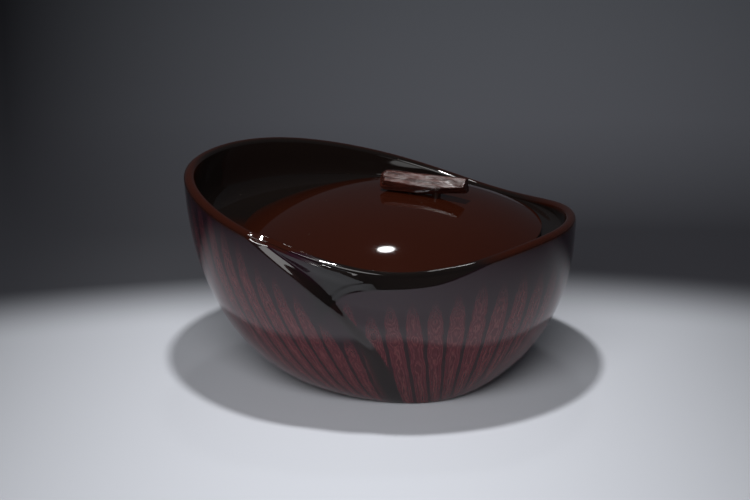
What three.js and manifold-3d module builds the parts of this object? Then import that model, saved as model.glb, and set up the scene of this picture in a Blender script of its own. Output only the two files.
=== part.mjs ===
// A covered lacquer vessel: an oval bowl with a rolled rim and a folded front, a domed lid that lifts out,
// and a carved bar for its handle. Millimetres, +Z up. The origin is under the middle of the rim, on the
// surface that the vessel stands on, and +X runs along the vessel's length.
import * as THREE from "three";
import { mergeVertices } from "three/addons/utils/BufferGeometryUtils.js";
import Module from "manifold-3d";

// Rim: the crest of the lip is an oval in plan, and its height runs in a slow wave round the bowl.
const RIM_HALF_LENGTH = 127;
const RIM_HALF_WIDTH = 111;
const RIM_TURN = -4.2;
const LIP_HALF_THICKNESS = 3.5;
const LIP_RISE = 3;
const RIM_HEIGHT = 121.2;
const RIM_WAVES = [
  { times: 1, cos: -15.8, sin: 0.8 },
  { times: 2, cos: 6.6, sin: -5.1 },
  { times: 3, cos: 2.2, sin: -2.7 },
  { times: 4, cos: -0.4, sin: 0.2 },
  { times: 5, cos: -0.3, sin: 0.6 },
  { times: 6, cos: 0, sin: 0.5 },
];

// Wall: it leaves a round foot that sits off the middle and swells up to the rim. In front it is fuller low
// down, like part of a cone.
const FOOT_X = 20.4;
const FOOT_Y = -14.6;
const FOOT_EDGE_RADIUS = 50.4;
const FOOT_EDGE_Z = 0.6;
const SWELL_OUT = { mean: 1.62, cos: -0.4, sin: -0.06 };
const SWELL_UP = { mean: 2.96, cos: 0.17, sin: 0.53 };
const FLATTEN = 0.225;
const WALL = 7;
const CONE_ANGLE = 274;
const CONE_SPREAD = 41.5;
const CONE_SHARE = 0.95;
const CONE_SLOPE = 1.21;
const CONE_BEND = 6.6;

// Fold: the left part of the wall laps over the right part along a line that runs down from the rim.
const FOLD_FOOT_ANGLE = 271;
const FOLD_LEAN = 35;
const FOLD_LEAN_POWERS = [8, 1.7];
const FOLD_PULL = 48;
const FOLD_TUCK = 8;
const LEDGE_HALF_WIDTH = 3.2;
const LEDGE_NECK_HALF_WIDTH = 1.1;
const LEDGE_TONGUE_HALF_WIDTH = 2.4;
const LEDGE_END = 34;
const LEDGE_DEPTH = 4.2;
const LEDGE_DEPTH_LOW_DOWN = 1.2;
const LEDGE_DEPTH_AT_RIM = 2.2;

// Chamfer: the wall right of the fold is hollowed under the rim, down to a crease that climbs to the right.
const CREASE_START = 258.5;
const CREASE_LOW = 0.78;
const CREASE_RISE = 0.172;
const CREASE_SPAN = 7.6;
const CHAMFER_AT_FOLD = 3.2;
const CHAMFER_IN_FRONT = 4;
const CHAMFER_HEIGHT = 0.049;
const CHAMFER_STEP_SHARE = 0.4;
const FACET_TOP = 0.992;
const FACET_TOP_FALL = 0.037;

// Lip and inside: the lip is shaved flat right of the fold, and the wall inside it is hollow like a dish.
const LIP_GIVE = 0.5;
const LIP_SHAVE_SLOPE = 1.08;
const LIP_SHAVE_START = 0.15;
const LIP_ROUND_START = 0.6;
const LIP_SHAVE_END = 262;
const INSIDE_CORNER = 4.5;
const INSIDE_CORNER_IN_FRONT = 2;
const FRONT_ANGLE = 285;
const FRONT_SPREAD = 32;

// Lid: a low dome on an oval that is turned against the rim's oval.
const LID_X = 8.6;
const LID_Y = -0.4;
const LID_HALF_LENGTH = 101.5;
const LID_HALF_WIDTH = 94;
const LID_TURN = 27;
const LID_EDGE_Z = 102.4;
const LID_RISE = 21.1;
const LID_FALL = 2.57;
const LID_SKIN = 4.2;
const LID_UNDERSIDE_Z = 99;

// Fits between the lid and the mouth, as shares of the lid's outline or in millimetres.
const GLUE_GAP = 0.3;
const LID_CLEARANCE = 1;
const SEAT_TOP_Z = LID_UNDERSIDE_Z - GLUE_GAP;
const SEAT_OUTER = 0.975;
const SEAT_INNER = 0.9;
const SEAT_BOTTOM_Z = 92.5;
const REBATE_OUTER = 0.98;
const REBATE_Z = SEAT_BOTTOM_Z - GLUE_GAP;
const MOUTH = 0.93;
const SHELF_BOTTOM_Z = 87.5;
const FLANGE_OUTER = 0.886;
const FLANGE_INNER = 0.845;
const FLANGE_BOTTOM_Z = 93.5;
const FLANGE_SEAT_Z = 101.2;
const FLANGE_PLAY_INSIDE = 0.005;
const FLANGE_PLAY_OUTSIDE = 0.006;

// Section of the lid's edge, and the places across the dome where its section has a corner.
const EDGE_UNDERSIDE = 0.985;
const EDGE_CORNERS = [
  { across: 0.996, up: 0.9 },
  { across: 1, up: 2.2 },
];
const DOME_UNDERSIDE_STEPS = [0.25, 0.45, 0.63];
const DOME_STEPS = [0.997, 0.985, 0.95, 0.9, 0.83, 0.74, 0.62, 0.48, 0.32, 0.16];

// Foot: a turned ring let into the bottom of the bowl, proud of it by a hair.
const FOOT_RING_OUTER = 46;
const FOOT_RING_INNER = 34;
const FOOT_RING_HEIGHT = 5.7;
const BOTTOM_RECESS_Z = FOOT_RING_HEIGHT + GLUE_GAP;
const CAVITY_FLOOR_Z = 12;
const CAVITY_TOP_Z = 89.5;

// Handle: a carved bar that lies across the top of the lid on two pegs.
const BAR_LENGTH = 60;
const BAR_X = 28.9;
const BAR_Y = 1.9;
const BAR_Z = 130.7;
const BAR_TURN = -21;
const BAR_SIDES = 8;
// Sections of the bar along its length: half width, half height, twist in degrees and lift of the middle.
const BAR_SECTIONS = [
  { along: -0.5, wide: 4.8, high: 4.8, twist: 4, lift: 0.7 },
  { along: -0.47, wide: 6.6, high: 6.4, twist: 4, lift: 0.5 },
  { along: -0.3, wide: 7.2, high: 6.7, twist: 8, lift: 0.2 },
  { along: -0.08, wide: 7.2, high: 6.6, twist: 14, lift: 0 },
  { along: 0.16, wide: 7.2, high: 6.6, twist: 10, lift: 0 },
  { along: 0.36, wide: 7, high: 6.5, twist: 16, lift: 0 },
  { along: 0.5, wide: 6.6, high: 6.3, twist: 14, lift: 0.1 },
];
const BAR_UNDERSIDE = 6.6;
const PEG_SPACING = 18;
const PEG_RADIUS = 3;
const PEG_DEPTH_IN_LID = 2.4;
const PEG_DEPTH_IN_BAR = 5;

// Grid of the bowl's surface. Columns stand closest at the fold's edge.
const COLUMN_STEP = 5;
const FINE_COLUMN_STEP = 2.5;
const FINE_COLUMNS_FROM = 225;
const FINE_COLUMNS_TO = 310;
const EDGE_COLUMN_STEP = 1.3;
const EDGE_COLUMNS_BESIDE = 5;
const OUTER_ROWS = 20;
const LIP_ROWS = 5;
const SLOPE_ROWS = 6;
const CEILING_ROWS = 2;
const INNER_ROWS = 7;
const ROUND_SEGMENTS = 60;
const PEG_SEGMENTS = 16;
const MERGE_DISTANCE = 1e-4;

const radians = THREE.MathUtils.degToRad;
const smooth = (low, high, value) => THREE.MathUtils.smoothstep(value, low, high);
const mix = THREE.MathUtils.lerp;

function turned(x, y, degrees) {
  const cos = Math.cos(radians(degrees));
  const sin = Math.sin(radians(degrees));
  return [x * cos - y * sin, x * sin + y * cos];
}

// A point of the rim's oval, moved outwards by grow.
function rimPlan(angle, grow) {
  const x = (RIM_HALF_LENGTH + grow) * Math.cos(radians(angle));
  const y = (RIM_HALF_WIDTH + grow) * Math.sin(radians(angle));
  return turned(x, y, RIM_TURN);
}

function rimHeight(angle) {
  return RIM_WAVES.reduce((height, part) => {
    const phase = radians(angle * part.times);
    return height + part.cos * Math.cos(phase) + part.sin * Math.sin(phase);
  }, RIM_HEIGHT);
}

// A value that changes once round the bowl.
function wave(values, angle) {
  return values.mean + values.cos * Math.cos(radians(angle)) + values.sin * Math.sin(radians(angle));
}

// Where the fold runs, as an angle round the rim, at a share of the wall's height.
function foldAngle(share) {
  const [fast, slow] = FOLD_LEAN_POWERS;
  const lean = (FOLD_LEAN * (share ** fast + share ** slow)) / 2;
  return FOLD_FOOT_ANGLE - lean - FOLD_TUCK * (1 - share) ** 3;
}

// Columns of the surface lean with the fold near it and stand straight elsewhere.
function leaningAngle(column, share) {
  const pull = Math.exp(-(((column - FOLD_FOOT_ANGLE) / FOLD_PULL) ** 2));
  return column + (foldAngle(share) - FOLD_FOOT_ANGLE) * pull;
}

// How far the right leaf lies behind the left one.
function ledgeDepth(share) {
  const low = LEDGE_DEPTH_LOW_DOWN * smooth(0.2, 0.6, share);
  const high = (LEDGE_DEPTH - LEDGE_DEPTH_LOW_DOWN) * smooth(0.645, 0.79, share);
  return low + high - (LEDGE_DEPTH - LEDGE_DEPTH_AT_RIM) * smooth(0.9, 1, share);
}

function ledgeHalfWidth(share) {
  const upper = (LEDGE_HALF_WIDTH - LEDGE_NECK_HALF_WIDTH) * smooth(0.69, 0.86, share);
  const lower = (LEDGE_TONGUE_HALF_WIDTH - LEDGE_NECK_HALF_WIDTH) * (1 - smooth(0.59, 0.68, share));
  return LEDGE_NECK_HALF_WIDTH + upper + lower;
}

// How much of the chamfer is reached: a step at the crease and one under the rim near the fold, and one even
// slope between them further on.
function chamferShare(angle, share) {
  const crease = CREASE_LOW + CREASE_RISE * (1 - Math.exp(-(angle - CREASE_START) / CREASE_SPAN));
  const low = crease + 0.05 * smooth(286, 306, angle);
  const facetTop = FACET_TOP - FACET_TOP_FALL * smooth(261, 270, angle);
  const step = CHAMFER_STEP_SHARE * smooth(-0.01, 0.05, share - low);
  const top = (1 - CHAMFER_STEP_SHARE) * THREE.MathUtils.clamp((share - facetTop) / (1 - facetTop), 0, 1);
  const slope = THREE.MathUtils.clamp((share - low) / Math.max(0.004, 1 - low), 0, 1);
  const full = THREE.MathUtils.clamp((1 - low) / CHAMFER_HEIGHT, 0, 1);
  return mix(step + top, slope * full, smooth(266, 271, angle));
}

// How far the folded front lies behind the plain wall, as a negative length.
function foldRelief(column, share) {
  const past = column - FOLD_FOOT_ANGLE;
  const angle = leaningAngle(column, share);
  const half = ledgeHalfWidth(share);
  const healed = smooth(LEDGE_HALF_WIDTH, LEDGE_END, past);
  const chamfer = mix(CHAMFER_AT_FOLD, CHAMFER_IN_FRONT, smooth(250, 270, angle));
  const depth = ledgeDepth(share) * (1 - healed) + chamfer * chamferShare(angle, share);
  return -smooth(-half, half, past) * depth;
}

// The plain wall, from the foot at share 0 to the rim at share 1.
function plainWall(column, share) {
  const angle = leaningAngle(column, share);
  const left = (1 - share) ** wave(SWELL_UP, angle);
  const turn = Math.acos(Math.min(1, Math.sqrt(left))) / (Math.PI / 2);
  const swell = (1 - left) ** (1 / wave(SWELL_OUT, angle)) * (1 - FLATTEN * turn * (1 - turn));
  const bend = (1 + CONE_SLOPE ** CONE_BEND) / (1 + (CONE_SLOPE * share) ** CONE_BEND);
  const cone = share * bend ** (1 / CONE_BEND);
  const beside = THREE.MathUtils.euclideanModulo(angle - CONE_ANGLE + 180, 360) - 180;
  const reach = mix(swell, cone, CONE_SHARE * Math.exp(-((beside / CONE_SPREAD) ** 2)));
  const [rimX, rimY] = rimPlan(angle, LIP_HALF_THICKNESS);
  const footX = FOOT_X + FOOT_EDGE_RADIUS * Math.cos(radians(angle));
  const footY = FOOT_Y + FOOT_EDGE_RADIUS * Math.sin(radians(angle));
  const top = rimHeight(angle) - LIP_RISE;
  return new THREE.Vector3(mix(footX, rimX, reach), mix(footY, rimY, reach), mix(FOOT_EDGE_Z, top, share));
}

function outwards(column, share) {
  const [x, y] = rimPlan(leaningAngle(column, share), LIP_HALF_THICKNESS);
  return new THREE.Vector3(x - FOOT_X, y - FOOT_Y, 0).normalize();
}

function outerWall(column, share) {
  return plainWall(column, share).addScaledVector(outwards(column, share), foldRelief(column, share));
}

function wallNormal(column, share) {
  const step = 0.01;
  const low = Math.max(0.001, share - step);
  const high = Math.min(1, share + step);
  const along = plainWall(column + 1, share).sub(plainWall(column - 1, share));
  const up = plainWall(column, high).sub(plainWall(column, low));
  return along.cross(up).normalize();
}

// The inside of the wall follows the outside, sunk places too, one wall thickness in.
function innerWall(column, share) {
  return plainWall(column, share)
    .addScaledVector(outwards(column, share), foldRelief(column, share))
    .addScaledVector(wallNormal(column, share), -WALL);
}

// A point on the lid's outline, scaled about the lid's middle, in the direction of a point of the rim.
function lidOutline(angle, scale, grow) {
  const [rimX, rimY] = rimPlan(angle, 0);
  const [dx, dy] = turned(rimX - LID_X, rimY - LID_Y, -LID_TURN);
  const a = LID_HALF_LENGTH * scale + grow;
  const b = LID_HALF_WIDTH * scale + grow;
  const reach = 1 / Math.hypot(dx / a, dy / b);
  const [x, y] = turned(dx * reach, dy * reach, LID_TURN);
  return [LID_X + x, LID_Y + y];
}

function ringAt(columns, place) {
  return columns.map((column) => place(column));
}

// Skins a stack of rings and closes both ends with a point.
function skin(rings, start, end) {
  const count = rings[0].length;
  const positions = [start, ...rings.flat(), end].flatMap((point) => [point.x, point.y, point.z]);
  const last = rings.length * count + 1;
  const triangles = [];
  for (let j = 0; j < count; j++) {
    const next = (j + 1) % count;
    triangles.push(0, 1 + next, 1 + j);
    for (let i = 0; i + 1 < rings.length; i++) {
      const a = 1 + i * count + j;
      const b = 1 + i * count + next;
      const c = b + count;
      const d = a + count;
      triangles.push(a, b, c, a, c, d);
    }
    const base = 1 + (rings.length - 1) * count;
    triangles.push(base + j, base + next, last);
  }
  const geometry = new THREE.BufferGeometry();
  geometry.setAttribute("position", new THREE.Float32BufferAttribute(positions, 3));
  geometry.setIndex(triangles);
  return geometry;
}

function bodyColumns() {
  const columns = [];
  for (let angle = 0; angle < 360; ) {
    columns.push(angle);
    if (Math.abs(angle - FOLD_FOOT_ANGLE) < EDGE_COLUMNS_BESIDE) angle += EDGE_COLUMN_STEP;
    else if (angle >= FINE_COLUMNS_FROM && angle < FINE_COLUMNS_TO) angle += FINE_COLUMN_STEP;
    else angle += COLUMN_STEP;
  }
  return columns;
}

// Rings of the underside, from the middle to the edge of the wall.
function undersideRings(columns) {
  const circle = (radius, z) =>
    ringAt(columns, (column) => {
      const angle = radians(column);
      return new THREE.Vector3(FOOT_X + radius * Math.cos(angle), FOOT_Y + radius * Math.sin(angle), z);
    });
  const recess = FOOT_RING_OUTER + GLUE_GAP;
  return [circle(recess / 2, BOTTOM_RECESS_Z), circle(recess, BOTTOM_RECESS_Z), circle(recess, FOOT_EDGE_Z)];
}

function outerRings(columns) {
  const rings = [];
  for (let row = 0; row <= OUTER_ROWS; row++) {
    const share = Math.sin((row / OUTER_ROWS) * (Math.PI / 2)) ** 1.2;
    rings.push(ringAt(columns, (column) => outerWall(column, share)));
  }
  return rings;
}

// The lip's inner edge in plan. It gives way a little where the outside is sunk.
function lipInside(column) {
  return rimPlan(leaningAngle(column, 1), LIP_GIVE * foldRelief(column, 1) - LIP_HALF_THICKNESS);
}

// The lip is half an ellipse. Right of the fold its outer side is shaved flat, less and less further on.
function lipHeight(column, across) {
  const foldTop = foldAngle(1);
  const faded = THREE.MathUtils.clamp((leaningAngle(column, 1) - foldTop) / (LIP_SHAVE_END - foldTop), 0, 1);
  const shaved = smooth(-2.5, 1.5, column - FOLD_FOOT_ANGLE) * (1 - faded);
  const flat = mix(LIP_ROUND_START, LIP_SHAVE_START, shaved) + LIP_SHAVE_SLOPE * across;
  return LIP_RISE * Math.min(2 * Math.sqrt(across * (1 - across)), flat);
}

function lipPoint(column, across) {
  const outer = outerWall(column, 1);
  const [x, y] = lipInside(column);
  const z = outer.z + lipHeight(column, across);
  return new THREE.Vector3(mix(outer.x, x, across), mix(outer.y, y, across), z);
}

function lipRings(columns) {
  const rings = [];
  for (let row = 1; row <= LIP_ROWS; row++) {
    const across = (1 - Math.cos((row / LIP_ROWS) * Math.PI)) / 2;
    rings.push(ringAt(columns, (column) => lipPoint(column, across)));
  }
  return rings;
}

// The inside wall above the lid is hollow like a dish: steep under the lip and level at the lid's edge.
function slopePoint(column, turn) {
  const angle = leaningAngle(column, 1);
  const [topX, topY] = lipInside(column);
  const [seatX, seatY] = lidOutline(angle, 1, LID_CLEARANCE);
  const inFront = Math.exp(-(((angle - FRONT_ANGLE) / FRONT_SPREAD) ** 2));
  const corner = mix(INSIDE_CORNER, INSIDE_CORNER_IN_FRONT, inFront);
  const out = Math.sin(turn) ** (2 / corner);
  const up = 1 - Math.cos(turn) ** (2 / corner);
  const top = rimHeight(angle) - LIP_RISE;
  return new THREE.Vector3(mix(seatX, topX, out), mix(seatY, topY, out), mix(SEAT_TOP_Z, top, up));
}

function slopeRings(columns) {
  const rings = [];
  for (let row = SLOPE_ROWS - 1; row >= 0; row--) {
    rings.push(ringAt(columns, (column) => slopePoint(column, (row / SLOPE_ROWS) * (Math.PI / 2))));
  }
  return rings;
}

function mouthRing(columns, scale, z) {
  return ringAt(columns, (column) => {
    const [x, y] = lidOutline(leaningAngle(column, 1), scale, 0);
    return new THREE.Vector3(x, y, z);
  });
}

function shareAtHeight(column, height) {
  let low = 0;
  let high = 1;
  for (let tries = 0; tries < 24; tries++) {
    const middle = (low + high) / 2;
    if (innerWall(column, middle).z < height) low = middle;
    else high = middle;
  }
  return (low + high) / 2;
}

function ceilingRings(columns) {
  const rings = [];
  for (let row = 1; row < CEILING_ROWS; row++) {
    const turn = (row / CEILING_ROWS) * (Math.PI / 2);
    rings.push(
      ringAt(columns, (column) => {
        const angle = leaningAngle(column, 1);
        const [x, y] = lidOutline(angle, MOUTH, 0);
        const corner = innerWall(column, shareAtHeight(column, CAVITY_TOP_Z));
        return new THREE.Vector3(
          mix(x, corner.x, Math.sin(turn)),
          mix(y, corner.y, Math.sin(turn)),
          mix(SHELF_BOTTOM_Z, corner.z, 1 - Math.cos(turn)),
        );
      }),
    );
  }
  return rings;
}

function innerRings(columns) {
  const spans = columns.map((column) => ({
    column,
    top: shareAtHeight(column, CAVITY_TOP_Z),
    bottom: shareAtHeight(column, CAVITY_FLOOR_Z),
  }));
  const rings = [];
  for (let row = 0; row <= INNER_ROWS; row++) {
    const down = row / INNER_ROWS;
    rings.push(spans.map((span) => innerWall(span.column, mix(span.top, span.bottom, down))));
  }
  const floor = spans.map((span) => {
    const edge = innerWall(span.column, span.bottom);
    return new THREE.Vector3(mix(FOOT_X, edge.x, 0.5), mix(FOOT_Y, edge.y, 0.5), edge.z);
  });
  rings.push(floor);
  return rings;
}

function bodyGeometry() {
  const columns = bodyColumns();
  const rings = [
    ...undersideRings(columns),
    ...outerRings(columns),
    ...lipRings(columns),
    ...slopeRings(columns),
    mouthRing(columns, REBATE_OUTER, SEAT_TOP_Z),
    mouthRing(columns, REBATE_OUTER, REBATE_Z),
    mouthRing(columns, MOUTH, REBATE_Z),
    mouthRing(columns, MOUTH, SHELF_BOTTOM_Z),
    ...ceilingRings(columns),
    ...innerRings(columns),
  ];
  const under = new THREE.Vector3(FOOT_X, FOOT_Y, BOTTOM_RECESS_Z);
  const floor = new THREE.Vector3(FOOT_X, FOOT_Y, CAVITY_FLOOR_Z);
  return skin(rings, under, floor);
}

// Turns a profile of [radius, height] pairs about the vertical.
function lathe(profile, segments) {
  const points = profile.map(([radius, height]) => new THREE.Vector2(radius, height));
  return new THREE.LatheGeometry(points, segments).rotateX(Math.PI / 2);
}

// The same, on the lid's oval: radii are shares of the lid's outline.
function ovalLathe(profile) {
  const geometry = lathe(profile, ROUND_SEGMENTS);
  geometry.scale(LID_HALF_LENGTH, LID_HALF_WIDTH, 1);
  geometry.rotateZ(radians(LID_TURN));
  geometry.translate(LID_X, LID_Y, 0);
  return geometry;
}

function ovalRing(inner, outer, bottom, top) {
  return ovalLathe([
    [inner, bottom],
    [outer, bottom],
    [outer, top],
    [inner, top],
    [inner, bottom],
  ]);
}

function domeHeight(share) {
  return LID_EDGE_Z + LID_RISE * (1 - share ** LID_FALL);
}

function lidGeometry() {
  const underFlange = FLANGE_INNER - FLANGE_PLAY_INSIDE;
  const besideFlange = FLANGE_OUTER + FLANGE_PLAY_OUTSIDE;
  const underside = [0, ...DOME_UNDERSIDE_STEPS, underFlange];
  const profile = underside.map((across) => [across, domeHeight(across) - LID_SKIN]);
  profile.push([underFlange, FLANGE_SEAT_Z], [besideFlange, FLANGE_SEAT_Z]);
  profile.push([besideFlange, LID_UNDERSIDE_Z], [EDGE_UNDERSIDE, LID_UNDERSIDE_Z]);
  profile.push(...EDGE_CORNERS.map(({ across, up }) => [across, LID_UNDERSIDE_Z + up]));
  profile.push(...[...DOME_STEPS, 0].map((across) => [across, domeHeight(across)]));
  return ovalLathe(profile);
}

function footRingGeometry() {
  const profile = [
    [FOOT_RING_INNER, 0],
    [FOOT_RING_OUTER, 0],
    [FOOT_RING_OUTER, FOOT_RING_HEIGHT],
    [FOOT_RING_INNER, FOOT_RING_HEIGHT],
    [FOOT_RING_INNER, 0],
  ];
  return lathe(profile, ROUND_SEGMENTS).translate(FOOT_X, FOOT_Y, 0);
}

function barGeometry() {
  const rings = BAR_SECTIONS.map((section) => {
    const ring = [];
    for (let side = 0; side < BAR_SIDES; side++) {
      const angle = radians((360 * (side + 0.5)) / BAR_SIDES + section.twist);
      const y = section.wide * Math.cos(angle);
      const z = section.lift + section.high * Math.sin(angle);
      ring.push(new THREE.Vector3(section.along * BAR_LENGTH, y, z));
    }
    return ring;
  });
  const ends = [rings[0], rings.at(-1)].map((ring) => {
    const middle = new THREE.Vector3();
    ring.forEach((point) => middle.addScaledVector(point, 1 / BAR_SIDES));
    return middle;
  });
  return placeBar(skin(rings, ends[0], ends[1]));
}

function placeBar(geometry) {
  return geometry.rotateZ(radians(BAR_TURN)).translate(BAR_X, BAR_Y, BAR_Z);
}

function pegPlace(side) {
  const [x, y] = turned((side * PEG_SPACING) / 2, 0, BAR_TURN);
  return [BAR_X + x, BAR_Y + y];
}

function lidTopAt(x, y) {
  const [dx, dy] = turned(x - LID_X, y - LID_Y, -LID_TURN);
  return domeHeight(Math.hypot(dx / LID_HALF_LENGTH, dy / LID_HALF_WIDTH));
}

function pegGeometry(side, radius, grow) {
  const [x, y] = pegPlace(side);
  const bottom = lidTopAt(x, y) - PEG_DEPTH_IN_LID - grow;
  const top = BAR_Z - BAR_UNDERSIDE + PEG_DEPTH_IN_BAR + grow;
  const profile = [
    [0, bottom],
    [radius, bottom],
    [radius, top],
    [0, top],
  ];
  return lathe(profile, PEG_SEGMENTS).translate(x, y, 0);
}

const wasm = await Module();
wasm.setup();

function solidOf(geometry) {
  const bare = geometry.clone();
  bare.deleteAttribute("normal");
  bare.deleteAttribute("uv");
  const merged = mergeVertices(bare, MERGE_DISTANCE);
  return new wasm.Manifold(
    new wasm.Mesh({
      numProp: 3,
      vertProperties: new Float32Array(merged.attributes.position.array),
      triVerts: new Uint32Array(merged.index.array),
    }),
  );
}

function geometryOf(solid) {
  const mesh = solid.getMesh();
  const geometry = new THREE.BufferGeometry();
  geometry.setAttribute("position", new THREE.Float32BufferAttribute(mesh.vertProperties, 3));
  geometry.setIndex(new THREE.BufferAttribute(mesh.triVerts, 1));
  return geometry;
}

function withPegHoles(geometry) {
  return [-1, 1].reduce((piece, side) => {
    const hole = solidOf(pegGeometry(side, PEG_RADIUS + GLUE_GAP, GLUE_GAP));
    return geometryOf(solidOf(piece).subtract(hole));
  }, geometry);
}

function named(name, geometry, color, roughness) {
  geometry.computeVertexNormals();
  const material = new THREE.MeshStandardMaterial({ color, roughness, metalness: 0 });
  const mesh = new THREE.Mesh(geometry, material);
  mesh.name = name;
  return mesh;
}

const vessel = new THREE.Group();
vessel.add(
  named("body_shell", bodyGeometry(), 0x5a2228, 0.12),
  named("lid_seat_ring", ovalRing(SEAT_INNER, SEAT_OUTER, SEAT_BOTTOM_Z, SEAT_TOP_Z), 0x3a1410, 0.25),
  named("foot_ring", footRingGeometry(), 0x1d1112, 0.35),
);

const lid = new THREE.Group();
lid.add(
  named("lid_shell", withPegHoles(lidGeometry()), 0x4a1a10, 0.1),
  named(
    "lid_locating_ring",
    ovalRing(FLANGE_INNER, FLANGE_OUTER, FLANGE_BOTTOM_Z, FLANGE_SEAT_Z - GLUE_GAP),
    0x3a1410,
    0.25,
  ),
  named("lid_knob", withPegHoles(barGeometry()), 0x4f2318, 0.4),
  named("knob_peg_left", pegGeometry(-1, PEG_RADIUS, 0), 0x2e1710, 0.6),
  named("knob_peg_right", pegGeometry(1, PEG_RADIUS, 0), 0x2e1710, 0.6),
);

const container = new THREE.Group();
container.add(vessel, lid);

export default container;
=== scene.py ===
# %% [markdown]
# # A covered lacquer vessel
# The object is an oval bowl with a domed lid that sits inside its rim and a carved bar for a handle. Its
# solids are already made at their real size. This lesson dresses them: smooth surfaces that gloss can run
# over, the layered lacquer of the outside, the plain lacquer of the inside, and the rough carving of the bar.

# %% Load the solids and keep their box
import math

import bpy
import numpy as np
from mathutils import Matrix, Vector, noise


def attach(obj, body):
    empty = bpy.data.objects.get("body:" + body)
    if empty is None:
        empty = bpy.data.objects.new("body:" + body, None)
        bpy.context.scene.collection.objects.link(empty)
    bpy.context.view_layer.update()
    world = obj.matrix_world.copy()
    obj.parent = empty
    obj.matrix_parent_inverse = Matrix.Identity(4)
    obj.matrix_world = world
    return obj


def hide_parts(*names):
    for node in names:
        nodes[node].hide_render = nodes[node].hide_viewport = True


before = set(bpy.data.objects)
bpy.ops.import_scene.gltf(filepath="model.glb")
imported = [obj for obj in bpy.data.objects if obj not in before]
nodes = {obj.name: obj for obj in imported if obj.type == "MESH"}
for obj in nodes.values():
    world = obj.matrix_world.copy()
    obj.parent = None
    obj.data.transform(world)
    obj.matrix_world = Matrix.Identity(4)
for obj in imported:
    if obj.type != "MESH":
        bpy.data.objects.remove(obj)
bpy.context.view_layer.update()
MM = 0.001

# %% [markdown]
# ## Camera
# The vessel was seen from a little over a metre away and about half a metre up, through a lens of moderate
# length, so its far side looks only slightly smaller than its near side. The camera looks straight along +Y
# and 20 degrees down.

# %% Place the camera
CAMERA_AT = Vector((-3.6, -1123.4, 493.2)) * MM
CAMERA_TILT = math.radians(90 - 20.01)
LENS = 85
SENSOR = 36

camera_data = bpy.data.cameras.new("camera")
camera_data.lens = LENS
camera_data.sensor_width = SENSOR
camera = bpy.data.objects.new("camera", camera_data)
camera.location = CAMERA_AT
camera.rotation_euler = (CAMERA_TILT, 0, 0)
bpy.context.scene.collection.objects.link(camera)
bpy.context.scene.camera = camera
bpy.context.scene.view_settings.view_transform = "Standard"

# %% [markdown]
# ## Small helpers
# Blender's operators work on what is selected, and the solids come in selected, so each step first lets go of
# everything. A finished piece is named, given its material and told which body it moves with, and the solid
# it stands for is hidden.

# %% Helpers for selecting and finishing pieces
def let_go():
    if bpy.context.mode != "OBJECT":
        bpy.ops.object.mode_set(mode="OBJECT")
    bpy.ops.object.select_all(action="DESELECT")


def work_on(piece):
    let_go()
    piece.select_set(True)
    bpy.context.view_layer.objects.active = piece


def clean_up(piece, merge=1e-6):
    work_on(piece)
    bpy.ops.object.mode_set(mode="EDIT")
    bpy.ops.mesh.select_all(action="SELECT")
    bpy.ops.mesh.remove_doubles(threshold=merge)
    bpy.ops.mesh.normals_make_consistent(inside=False)
    bpy.ops.object.mode_set(mode="OBJECT")


def finish_piece(piece, name, body, stands_for, material):
    piece.name = name
    piece.data.name = name
    piece.data.materials.clear()
    piece.data.materials.append(material)
    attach(piece, body)
    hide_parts(stands_for)
    print(name, "faces:", len(piece.data.polygons))


def smooth_step(low, high, value):
    share = np.clip((value - low) / (high - low), 0, 1)
    return share * share * (3 - 2 * share)


def hump(value, middle, spread):
    """1 at the middle, falling away smoothly on both sides."""
    return np.exp(-(((value - middle) / spread) ** 2))


def mix(a, b, share):
    return a + (b - a) * share


def turned(x, y, degrees):
    cos = math.cos(math.radians(degrees))
    sin = math.sin(math.radians(degrees))
    return x * cos - y * sin, x * sin + y * cos

# %% [markdown]
# ## The bowl's form
# The real bowl was carved and lacquered freehand, and its gloss shows every dent. Polygons pushed about by
# hand would ripple in the reflections, so the surface is worked out from a few smooth curves: an oval rim
# whose height runs in slow waves, a wall that swells from a round foot, and the fold at the front left.
# These are the same driving sizes as the solid's, in millimetres.

# %% Driving sizes of the bowl
RIM_HALF_LENGTH, RIM_HALF_WIDTH, RIM_TURN = 127, 111, -4.2
LIP_HALF_THICKNESS, LIP_RISE, RIM_HEIGHT = 3.5, 3, 121.2
RIM_WAVES = ((1, -15.8, 0.8), (2, 6.6, -5.1), (3, 2.2, -2.7), (4, -0.4, 0.2), (5, -0.3, 0.6), (6, 0, 0.5))
FOOT_X, FOOT_Y, FOOT_EDGE_RADIUS, FOOT_EDGE_Z = 20.4, -14.6, 50.4, 0.6
SWELL_OUT = (1.62, -0.4, -0.06)
SWELL_UP = (2.96, 0.17, 0.53)
FLATTEN, WALL = 0.225, 7
UPRIGHT_FROM, FRONT_ANGLE, FRONT_SPREAD = 330, 285, 32
CONE_ANGLE, CONE_SPREAD, CONE_SHARE, CONE_SLOPE, CONE_BEND = 274, 41.5, 0.95, 1.21, 6.6
FOLD_FOOT_ANGLE, FOLD_LEAN, FOLD_PULL, FOLD_TUCK, FOLD_BENDS = 271, 35, 48, 8, (8, 1.7)
LEDGE_HALF_WIDTH, LEDGE_NECK_HALF_WIDTH, LEDGE_TONGUE_HALF_WIDTH, LEDGE_END = 3.2, 1.1, 2.4, 34
LEDGE_DEPTH, LEDGE_DEPTH_AT_TIP, LEDGE_DEPTH_AT_RIM = 4.2, 1.2, 2.2
LEDGE_STARTS, LEDGE_DEEPENS, LEDGE_EASES = (0.2, 0.6), (0.645, 0.79), (0.9, 1)
LEDGE_TONGUE_ENDS, LEDGE_WIDENS = (0.59, 0.68), (0.69, 0.86)
INSIDE_CORNER, INSIDE_CORNER_IN_FRONT, CAVITY_TOP_Z = 4.5, 2, 89.5
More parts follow.
